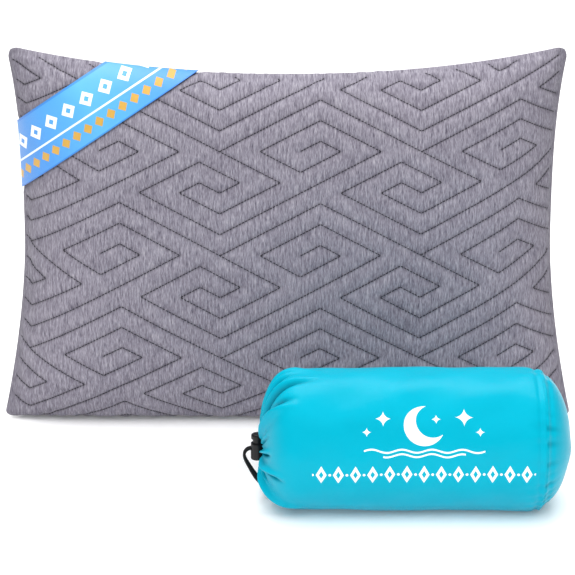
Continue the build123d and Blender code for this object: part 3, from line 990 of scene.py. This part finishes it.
def innerForm(name, inset):
    # a closed copy of the pillow's form, further in
    halves = []
    for side in (-1, 1):
        across, up = pillowShape["simAcross"], pillowShape["simUp"]
        half, column, row = gridPiece(name, across, up)
        shaped = pillowSurface(column / across * 2 - 1, row / up * 2 - 1, side, inset)
        shaped[:, [0, 2]] = shaped[:, [0, 2]] * (1 - inset / 0.2) + np.array([0, 0.16]) * inset / 0.2
        shaped[:, 1] *= 1 - inset / 0.16
        writePoints(half, stand(shaped - np.array([0, 0, inset])) + np.array([0, 0, inset]))
        if side > 0:
            flipped(half)
        halves.append(half)
    piece = joined(halves, name)
    merged(piece)
    smooth(piece)
    return piece


innerLiner = innerForm("innerLiner", 0.0072)
foamFill = innerForm("foamFill", 0.0086)

# zip in the back panel

zipTrim = {"toothPitch": 0.0016, "toothRadius": 0.00062, "weltRadius": 0.0013, "weltRise": 0.0006,
           "corner": 0.004}


def onStrip(piece):
    # from the strip's own flat frame (X along, Y up the slope, Z outwards) to its place
    place = Matrix((Vector((1, 0, 0)), strip["up"], strip["out"])).transposed().to_4x4()
    place.translation = strip["origin"]
    pick(piece)
    piece.matrix_world = place @ piece.matrix_world
    settle(piece)


def zipTeeth(name, node):
    # one row of bent teeth instead of the plain bar
    low, high = stripBox(node)
    count = int((high.x - low.x) / zipTrim["toothPitch"])
    deselectAll()
    bpy.ops.mesh.primitive_cylinder_add(vertices=8, radius=1, depth=1, rotation=(math.radians(90), 0, 0))
    tooth = named(bpy.context.object, name)
    tooth.scale = (zipTrim["toothRadius"], (high.z - low.z) / 2, high.y - low.y)
    settle(tooth)
    rounding = tooth.modifiers.new("rounding", "BEVEL")
    rounding.width = 0.00025
    rounding.segments = 1
    row = tooth.modifiers.new("row", "ARRAY")
    row.count = count
    row.use_relative_offset = False
    row.use_constant_offset = True
    row.constant_offset_displace = (zipTrim["toothPitch"], 0, 0)
    applyAll(tooth)
    tooth.location = (low.x + zipTrim["toothPitch"] / 2, (low.y + high.y) / 2, (low.z + high.z) / 2)
    settle(tooth)
    onStrip(tooth)
    smooth(tooth, 40)
    return tooth


def stripBox(node):
    # a node's corners in the strip's own flat frame
    place = Matrix((Vector((1, 0, 0)), strip["up"], strip["out"]))
    local = [place @ (Vector(v.co) - strip["origin"]) for v in nodes[node].data.vertices]
    low = Vector([min(p[axis] for p in local) for axis in range(3)])
    high = Vector([max(p[axis] for p in local) for axis in range(3)])
    return low, high


def zipWelt():
    # the turned-under edge of the cover, rolled round the slit
    halfX, halfY = strip["halfLength"], strip["halfWidth"]
    corner = zipTrim["corner"]
    curve = bpy.data.curves.new("zipWelt", "CURVE")
    curve.dimensions = "3D"
    curve.bevel_depth = zipTrim["weltRadius"]
    curve.bevel_resolution = 3
    line = curve.splines.new("POLY")
    corners = [(halfX - corner, halfY - corner, 0), (corner - halfX, halfY - corner, 90),
               (corner - halfX, corner - halfY, 180), (halfX - corner, corner - halfY, 270)]
    points = []
    for x, y, start in corners:
        for turn in range(0, 91, 15):
            angle = math.radians(start + turn)
            points.append((x + corner * math.cos(angle), y + corner * math.sin(angle),
                           zipTrim["weltRise"], 1))
    line.points.add(len(points) - 1)
    for point, co in zip(line.points, points):
        point.co = co
    line.use_cyclic_u = True
    welt = bpy.data.objects.new("zipWelt", curve)
    bpy.context.scene.collection.objects.link(welt)
    pick(welt)
    bpy.ops.object.convert(target="MESH")
    welt = named(bpy.context.object, "zipWelt")
    onStrip(welt)
    smooth(welt)
    return welt


def tapeStitches(name, side):
    # one row of sewing beside the slit, through cover and tape
    y = side * (strip["halfWidth"] + 0.0034)
    count = int(2 * strip["halfLength"] / 0.0032)
    x = (np.arange(count) + 0.5) / count * 2 * strip["halfLength"] - strip["halfLength"]
    base, up, out = (np.array(strip[key]) for key in ("origin", "up", "out"))
    onSurface = backHeight(x, base[2] + y * up[2])
    half = np.array([0.0011, 0, 0])
    normals = np.repeat(out[None, :], count, axis=0)
    middle = np.column_stack([x, onSurface + 0.00005, np.full(count, base[2] + y * up[2])])
    return sewAlong(name, middle - half, middle + half, normals, 0.0003)


def backHeight(x, z):
    # how far back the quilted back panel stands at each x and z
    shape = backData["shape"]
    rows, columns = shape.shape[:2]
    i = (x - shape[rows // 2, 0, 0]) / (shape[rows // 2, -1, 0] - shape[rows // 2, 0, 0]) * (columns - 1)
    j = np.full(x.shape, rows / 2.0)
    z = np.broadcast_to(z, x.shape)
    for _ in range(60):
        here = sampleGrid(shape, i, j)
        i = np.clip(i + (x - here[:, 0]) / 0.0018, 0, columns - 1.001)
        j = np.clip(j + (z - here[:, 2]) / 0.0018, 0, rows - 1.001)
    return sampleGrid(shape, i, j)[:, 1]


def careLabel():
    # a blank satin label that hangs from the slit's lower edge and lifts a little at its end
    low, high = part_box("care_label")
    label, column, row = gridPiece("careLabel", 18, 24)
    along, drop = column / 18, 1 - row / 24
    x = low.x + along * (high.x - low.x)
    z = high.z + 0.0015 - drop * (high.z - low.z + 0.0015)
    behind = backHeight(x, z) + 0.0009
    top = np.array(strip["origin"])[1] - 0.001
    y = behind + 0.0022 * drop ** 2 + 0.0004 * np.sin(along * 5 + drop * 3)
    y = y * smoothstep(0, 0.12, drop) + top * (1 - smoothstep(0, 0.12, drop))
    writePoints(label, np.column_stack([x, np.maximum(y, behind), z]))
    layUv(label, "flat", along, drop)
    flipped(label)
    solid = label.modifiers.new("thickness", "SOLIDIFY")
    solid.thickness = 0.0003
    solid.offset = 0
    applyAll(label)
    smooth(label, 50)
    return label


teethUpper = zipTeeth("zipTeethUpper", "zip_coil_upper")
teethLower = zipTeeth("zipTeethLower", "zip_coil_lower")
weltPiece = zipWelt()
stitchRows = [tapeStitches("zipStitchesUpper", 1), tapeStitches("zipStitchesLower", -1)]
zipStitches = joined(stitchRows, "zipStitches")
labelPiece = careLabel()
print("zip and label made")

# stuff sack

tubeLow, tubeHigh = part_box("sack_tube")
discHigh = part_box("sack_end_disc")[1]
hemLow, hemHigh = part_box("sack_hem")
sack = {
    "y": (tubeLow.y + tubeHigh.y) / 2, "radius": (tubeHigh.y - tubeLow.y) / 2,
    "axis": tubeHigh.z - (tubeHigh.y - tubeLow.y) / 2,
    "left": tubeLow.x + 0.0035, "right": discHigh.x, "seam": tubeHigh.x,
    "mouthZ": (hemLow.z + hemHigh.z) / 2,
    "hemFront": hemLow.x, "hemBack": hemHigh.x,
    "leftDome": 0.0286, "rightDome": 0.0365, "domePower": 2.3,
    "around": 340, "tubeSteps": 250, "discSteps": 48,
    # each fold: degrees round from the front, reach, width in degrees, depth, bend
    "folds": [(80, 0.070, 6, 0.8, 0.10), (65, 0.085, 6, 0.9, 0.12), (53, 0.068, 9, 1.6, -0.01),
              (29, 0.036, 6, 0.7, 0.05), (7, 0.040, 7, 1.2, 0.02), (-17, 0.056, 8, 1.6, 0.02),
              (-37, 0.036, 6, 0.8, -0.06), (-56, 0.074, 10, 1.8, 0.03), (-77, 0.060, 7, 1.0, 0.10)],
    "hemSetBack": 0.0025, "pleatDepth": 0.0044, "seed": 8, "wrinkle": 0.0007, "slack": 0.0011,
    "rollInset": 0.0068, "rollSteps": 96, "hemRing": 0.0084, "hemThick": 0.0038,
    "flatAround": 0.336, "flatLength": 0.262,
}


def wave(count, seed, low, high):
    # a repeating irregular wave: whole turns, strengths and phases from a seed
    rng = random.Random(seed)
    return [(rng.randint(low, high), rng.uniform(0.5, 1.0), rng.uniform(0, 6.283)) for _ in range(count)]


def waveAt(parts, angle, drift=0.0):
    total = sum(strength * np.cos(turns * angle + phase + drift) for turns, strength, phase in parts)
    return total / math.sqrt(sum(strength ** 2 for turns, strength, phase in parts) / 2) / 2


def evenly(points, count):
    # the same line with count even steps
    points = np.array(points)
    reach = np.concatenate([[0], np.cumsum(np.linalg.norm(np.diff(points, axis=0), axis=1))])
    even = np.linspace(0, reach[-1], count + 1)
    return np.column_stack([np.interp(even, reach, points[:, axis]) for axis in range(points.shape[1])]), even


def domePoints(pole, length, low, high):
    angles = np.radians(np.linspace(low, high, 60))
    bend = 2 / sack["domePower"]
    return [(pole - length * (1 - math.cos(a) ** bend), sack["radius"] * math.sin(a) ** bend) for a in angles]


def wrapped(x, radius, angle):
    # round the sack's axis, which drops towards the mouth at the left end
    toMouth = (1 - smoothstep(0.013, sack["radius"] * 0.98, radius)) * (x < 0.06)
    centre = sack["axis"] + (sack["mouthZ"] - sack["axis"]) * toMouth
    y = sack["y"] - radius * np.cos(angle)
    z = pressedFlat(centre + radius * np.sin(angle), 0.0009)
    return np.stack([x, y, z], axis=-1)


def sackPleats(angle, fromMouth):
    # folds that run out of the gathered mouth; each is a sharp valley between two soft rolls, returned with a
    # painted shade along each valley
    rng = random.Random(sack["seed"])
    height = np.zeros(angle.shape)
    valley = np.zeros(angle.shape)
    folds = list(sack["folds"])
    while folds[-1][0] > -264:
        folds.append((folds[-1][0] - rng.uniform(12, 20), rng.choice((0.036, 0.048, 0.066, 0.085)),
                      rng.uniform(6, 9), rng.uniform(0.8, 1.3), rng.uniform(-0.10, 0.10)))
    for degrees, reach, width, depth, bend in folds:
        depth *= sack["pleatDepth"]
        width = math.radians(width)
        middle = math.radians(degrees) + bend * (fromMouth / 0.05) ** 1.5
        off = (angle - middle + math.pi) % (2 * math.pi) - math.pi
        spread = width * (0.55 + 0.45 * np.clip(fromMouth / 0.03, 0, 1))
        fade = (1 - smoothstep(0.5 * reach, reach, fromMouth)) * smoothstep(-0.002, 0.006, fromMouth)
        swell = fade * (0.35 + 0.65 * smoothstep(0.006, 0.028, fromMouth))
        skewed = off / spread + 0.35 * np.sign(bend)
        cut = np.exp(-np.abs(skewed) * 4.2)
        roll = np.exp(-((skewed - 0.75 * np.sign(bend)) / 0.45) ** 2)
        height += depth * swell * (0.8 * roll - cut)
        # painted shade along the valley of each fold
        valley += fade * np.exp(-(skewed * 3.2) ** 2) * min(depth / sack["pleatDepth"], 1)
    ripples = waveAt(wave(6, 11, 19, 37), angle) * np.exp(-(fromMouth / 0.022) ** 2)
    return height + 0.0007 * ripples, np.clip(valley, 0, 1)


def sackTube():
    left, right = sack["left"], sack["right"]
    lip = [(left + 0.0105, 0.0088), (left + 0.0055, 0.0100), (left + 0.0016, 0.0120)]
    dome = domePoints(left, -sack["leftDome"], 14, 90)
    rest = [p for p in domePoints(right, sack["rightDome"], 90, 8) if p[0] < sack["seam"]]
    line, reach = evenly(lip + dome + rest + [(sack["seam"], rest[-1][1])], sack["tubeSteps"])
    tangent = np.gradient(line, axis=0)
    tangent /= np.linalg.norm(tangent, axis=1, keepdims=True)
    outward = np.column_stack([-tangent[:, 1], tangent[:, 0]])
    tube, column, row = gridPiece("sackTube", sack["around"], sack["tubeSteps"])
    angle = (column / sack["around"] * 2 - 1) * math.pi
    x, radius = line[row, 0], line[row, 1]
    fromMouth = reach[row]
    toSeam = reach[-1] - fromMouth
    # gathers that run out of the mouth, sharp in their valleys, and fewer further on
    gather, valley = sackPleats(angle, fromMouth)
    # puckers along the disc's seam, and the slack of thin cloth over its filling
    pucker = waveAt(wave(6, 21, 19, 41), angle) * np.exp(-(toSeam / 0.011) ** 2) * 0.45
    slackA = waveAt(wave(4, 31, 2, 6), angle, 22 * x) * np.sin(31 * x + 1.2)
    slackB = waveAt(wave(4, 37, 4, 9), angle, -38 * x) * np.sin(58 * x + 2.2)
    slackC = waveAt(wave(4, 39, 8, 17), angle, 75 * x) * np.sin(97 * x + 0.4)
    body = smoothstep(0.02, 0.06, fromMouth)
    shift = (gather + 0.0012 * pucker
             + body * (sack["slack"] * slackA + sack["wrinkle"] * (slackB + 0.6 * slackC)) * 0.8)
    ridge = (0.0009 * np.exp(-((toSeam - 0.0012) / 0.0011) ** 2)
             - 0.0008 * np.exp(-((toSeam - 0.0045) / 0.002) ** 2))
    sideSeam = 0.0007 * smoothstep(math.pi - 0.075, math.pi - 0.068, abs(angle)) * body
    shift = shift + ridge + sideSeam
    xNow = x + shift * outward[row, 0]
    radiusNow = radius + shift * outward[row, 1]
    writePoints(tube, wrapped(xNow, radiusNow, angle))
    layUv(tube, "wrap", x, angle * sack["radius"])
    # painted shade in the valleys of the folds
    crease = tube.data.attributes.new("crease", "FLOAT", "POINT")
    crease.data.foreach_set("value", valley.astype(np.float32))
    smooth(tube)
    return tube


def sackEnd():
    # the round end, sewn to the tube and domed by the filling
    edge = [p for p in domePoints(sack["right"], sack["rightDome"], 90, 0) if p[0] >= sack["seam"]]
    line, reach = evenly([(sack["seam"], edge[0][1])] + edge, sack["discSteps"])
    end, column, row = gridPiece("sackEnd", sack["around"], sack["discSteps"])
    angle = (column / sack["around"] * 2 - 1) * math.pi
    x, radius = line[row, 0], np.maximum(line[row, 1], 0.0)
    fromSeam = reach[row]
    pucker = waveAt(wave(6, 21, 19, 41), angle) * np.exp(-(fromSeam / 0.010) ** 2)
    slack = waveAt(wave(4, 43, 2, 5), angle, 60 * fromSeam) * smoothstep(0, 0.02, radius) * 0.8
    ridge = (0.0010 * np.exp(-((fromSeam - 0.0012) / 0.0011) ** 2)
             - 0.0009 * np.exp(-((fromSeam - 0.0048) / 0.002) ** 2))
    shift = 0.0007 * pucker + 0.0009 * slack + ridge
    steep = smoothstep(0, 0.03, fromSeam)
    writePoints(end, wrapped(x + shift * steep - 0.0003, radius + shift * (1 - steep), angle))
    layUv(end, "wrap", x + 0.5, angle * sack["radius"])
    layUv(end, "flatEnd", radius * np.cos(angle), radius * np.sin(angle))
    # painted shade in the hollows of the puckers by the seam
    crease = end.data.attributes.new("crease", "FLOAT", "POINT")
    crease.data.foreach_set("value", (np.clip(-pucker, 0, 1) * 0.5).astype(np.float32))
    merged(end)
    smooth(end)
    return end


def sackHem():
    # the gathered hem: a ring of cloth bunched on the cord
    middleX = (sack["hemFront"] + sack["hemBack"]) / 2 + sack["hemSetBack"]
    deselectAll()
    ring = sack["hemRing"]
    bpy.ops.mesh.primitive_torus_add(major_segments=192, minor_segments=20, major_radius=ring,
                                     minor_radius=sack["hemThick"], rotation=(0, math.radians(90), 0))
    hem = named(bpy.context.object, "sackHem")
    settle(hem)
    points = readPoints(hem)
    angle = np.arctan2(points[:, 2], points[:, 1])
    radius = np.hypot(points[:, 1], points[:, 2])
    turned = np.arctan2(points[:, 0], radius - ring)
    fold = waveAt(wave(5, 51, 13, 22), angle + 0.15 * np.sin(turned))
    thick = 0.0036 + 0.0009 * (1 - 1.6 * abs(fold))
    thick = np.where(np.cos(turned) < 0, np.minimum(thick, 0.0040), thick)
    radius = ring + thick * np.cos(turned)
    x = middleX + thick * np.sin(turned) * 1.15
    y = sack["y"] + radius * np.cos(angle)
    z = sack["mouthZ"] + radius * np.sin(angle)
    writePoints(hem, np.column_stack([x, y, z]))
    layUv(hem, "wrap", turned * 0.004, angle * ring)
    # painted shade in the hem's folds
    crease = hem.data.attributes.new("crease", "FLOAT", "POINT")
    crease.data.foreach_set("value", np.clip(abs(fold) * 0.9 - 0.2, 0, 1).astype(np.float32))
    smooth(hem)
    return hem


def packedRoll():
    # the rolled pillow inside, closed at both ends and clear of the folds
    inset = sack["rollInset"]
    left, right = sack["left"] + 0.0155, sack["right"] - 0.011
    outer = sack["radius"] - inset
    line = [(left, 0.0), (left, 0.012), (left + 0.002, 0.030), (left + 0.009, outer * 0.9)]
    line += [(left + 0.022, outer), (right - 0.032, outer), (right - 0.012, outer * 0.85)]
    line += [(right - 0.002, 0.028), (right, 0.012), (right, 0.0)]
    line = upsample(np.array(line), 6)
    roll, column, row = gridPiece("packedRoll", sack["rollSteps"], len(line) - 1)
    angle = (column / sack["rollSteps"] * 2 - 1) * math.pi
    radius = np.clip(line[row, 1], 0, outer)
    lifted = np.stack([line[row, 0], sack["y"] - radius * np.cos(angle),
                       sack["axis"] - 0.0008 + radius * np.sin(angle)], axis=-1)
    writePoints(roll, lifted)
    merged(roll)
    smooth(roll)
    return roll


packedRollPiece = packedRoll()
sackTubePiece = sackTube()
sackEndPiece = sackEnd()
sackHemPiece = sackHem()
print("sack made")

# finishes

knitFinish = quiltedKnit()
nylonFinish = sackNylon()
darkThread = threadFinish("darkThread", (0.014, 0.012, 0.020))
greyThread = threadFinish("greyThread", (0.20, 0.19, 0.23))
nickel = zipNickel()
black = glossBlack()
cordFinish = cordBlack()
packedCloth = softFill("packedCloth", (0.30, 0.28, 0.33), (0.12, 0.11, 0.14), 700)
tapeFinish = plainWeave("zipTape", (0.075, 0.070, 0.085), (0.030, 0.028, 0.036))
teethFinish = Finish("zipTeeth", 0.35)
teethFinish.colour(teethFinish.mix(teethFinish.noise(teethFinish.place(), (700, 700, 700)),
                                   (0.045, 0.042, 0.052), (0.105, 0.100, 0.120)))


def labelSatin():
    satin = Finish("labelSatin", 0.45, Sheen_Weight=0.2)
    flat = satin.uv("flat")
    across, down, unused = satin.parts(flat)
    rib = satin.math("SINE", down * 420)
    # a darker band across the label where it bends: painted shade in the fold
    fold = satin.size(down - 0.12) < 0.012
    thread = satin.noise(flat, (300, 20, 1), 2.0)
    satin.colour(satin.mix(fold * 0.5 + thread * 0.15, (0.84, 0.83, 0.80), (0.55, 0.54, 0.52)))
    satin.bump(rib * 0.5 + thread, 0.00012)
    return satin


def springSteel():
    steel = Finish("springSteel", 0.25, Metallic=1.0)
    drawn = steel.noise(steel.place(), (900, 900, 300), 2.0)
    steel.colour(steel.mix(drawn, (0.45, 0.45, 0.46), (0.66, 0.66, 0.67)))
    steel.bump(drawn, 0.00003, 0.3)
    return steel


for piece, finish in ((coverFront, knitFinish), (coverBack, knitFinish), (stitchesFront, darkThread),
                      (stitchesBack, darkThread), (cornerSashPiece, sashRibbon()), (weltPiece, greyThread),
                      (zipStitches, darkThread), (teethUpper, teethFinish), (teethLower, teethFinish),
                      (labelPiece, labelSatin()), (sackTubePiece, nylonFinish), (sackEndPiece, nylonFinish),
                      (sackHemPiece, nylonFinish), (strandFront, cordFinish), (strandBack, cordFinish),
                      (knotPiece, cordFinish), (packedRollPiece, packedCloth),
                      (innerLiner, plainWeave("linerCloth", (0.80, 0.80, 0.78), (0.66, 0.66, 0.64))),
                      (foamFill, softFill("foam", (0.80, 0.81, 0.70), (0.62, 0.63, 0.52), 260))):
    dress(piece, finish)
for node, finish in (("zip_tape_upper", tapeFinish), ("zip_tape_lower", tapeFinish),
                     ("zip_stop_closed_end", nickel), ("zip_stop_open_end", nickel),
                     ("zip_slider_body", nickel),
                     ("zip_pull_ring", nickel), ("zip_pull_tab", nickel), ("lock_barrel", black),
                     ("lock_plunger", black), ("lock_spring", springSteel()),
                     ("drawcord_in_hem", cordFinish)):
    dressNode(node, finish)

# what rides on what

for piece in (coverFront, coverBack, stitchesFront, stitchesBack, weltPiece, zipStitches, teethUpper,
              teethLower, labelPiece, innerLiner, foamFill):
    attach(piece, "pillow")
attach(cornerSashPiece, "sash")
for piece in (sackTubePiece, sackEndPiece, sackHemPiece, packedRollPiece):
    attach(piece, "sack")
for piece in (strandFront, strandBack, knotPiece):
    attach(piece, "cord_lock")
for piece, node in ((coverFront, "cover_front_panel"), (coverBack, "cover_back_panel"),
                    (cornerSashPiece, "corner_sash"), (innerLiner, "inner_liner"), (foamFill, "foam_fill"),
                    (teethUpper, "zip_coil_upper"), (teethLower, "zip_coil_lower"),
                    (labelPiece, "care_label"), (packedRollPiece, "packed_roll"),
                    (sackTubePiece, "sack_tube"), (sackEndPiece, "sack_end_disc"), (sackHemPiece, "sack_hem"),
                    (strandFront, "drawcord_strand_front"), (strandBack, "drawcord_strand_back"),
                    (knotPiece, "drawcord_knot")):
    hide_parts(node)

# floor and light

lampSetup = {"world": 0.26, "sunEnergy": 3.05, "sunAngle": 60, "sunFrom": (-0.08, -0.66, 1.0),
             "stripEnergy": 26, "stripSize": (1.8, 0.35), "stripFrom": (0.1, 0.62, 1.7),
             "stripAim": (0.09, -0.19, 0.09), "paperGlow": 0.13, "floorSize": 60}


def stageLights():
    deselectAll()
    bpy.ops.mesh.primitive_plane_add(size=lampSetup["floorSize"])
    floor = named(bpy.context.object, "floor")
    paper = Finish("paper", 0.9, Specular_IOR_Level=0.0, Emission_Strength=lampSetup["paperGlow"])
    paper.feed(paper.shader.inputs["Emission Color"], (1, 1, 1, 1))
    paper.colour((0.94, 0.94, 0.94))
    dress(floor, paper)
    world = bpy.data.worlds.new("studio")
    world.use_nodes = True
    world.node_tree.nodes["Background"].inputs[0].default_value = (1, 1, 1, 1)
    world.node_tree.nodes["Background"].inputs[1].default_value = lampSetup["world"]
    bpy.context.scene.world = world
    sun = bpy.data.lights.new("topLight", "SUN")
    sun.energy = lampSetup["sunEnergy"]
    sun.angle = math.radians(lampSetup["sunAngle"])
    placeLight(sun, lampSetup["sunFrom"], (0, 0, 0)).visible_glossy = False
    stripLamp = bpy.data.lights.new("stripLight", "AREA")
    stripLamp.shape = "RECTANGLE"
    stripLamp.size, stripLamp.size_y = lampSetup["stripSize"]
    stripLamp.energy = lampSetup["stripEnergy"]
    placeLight(stripLamp, lampSetup["stripFrom"], lampSetup["stripAim"])


def placeLight(data, place, aim):
    lamp = bpy.data.objects.new(data.name, data)
    bpy.context.scene.collection.objects.link(lamp)
    lamp.location = place
    lamp.rotation_euler = (Vector(place) - Vector(aim)).to_track_quat("Z", "Y").to_euler()
    return lamp


stageLights()

bpy.context.view_layer.update()
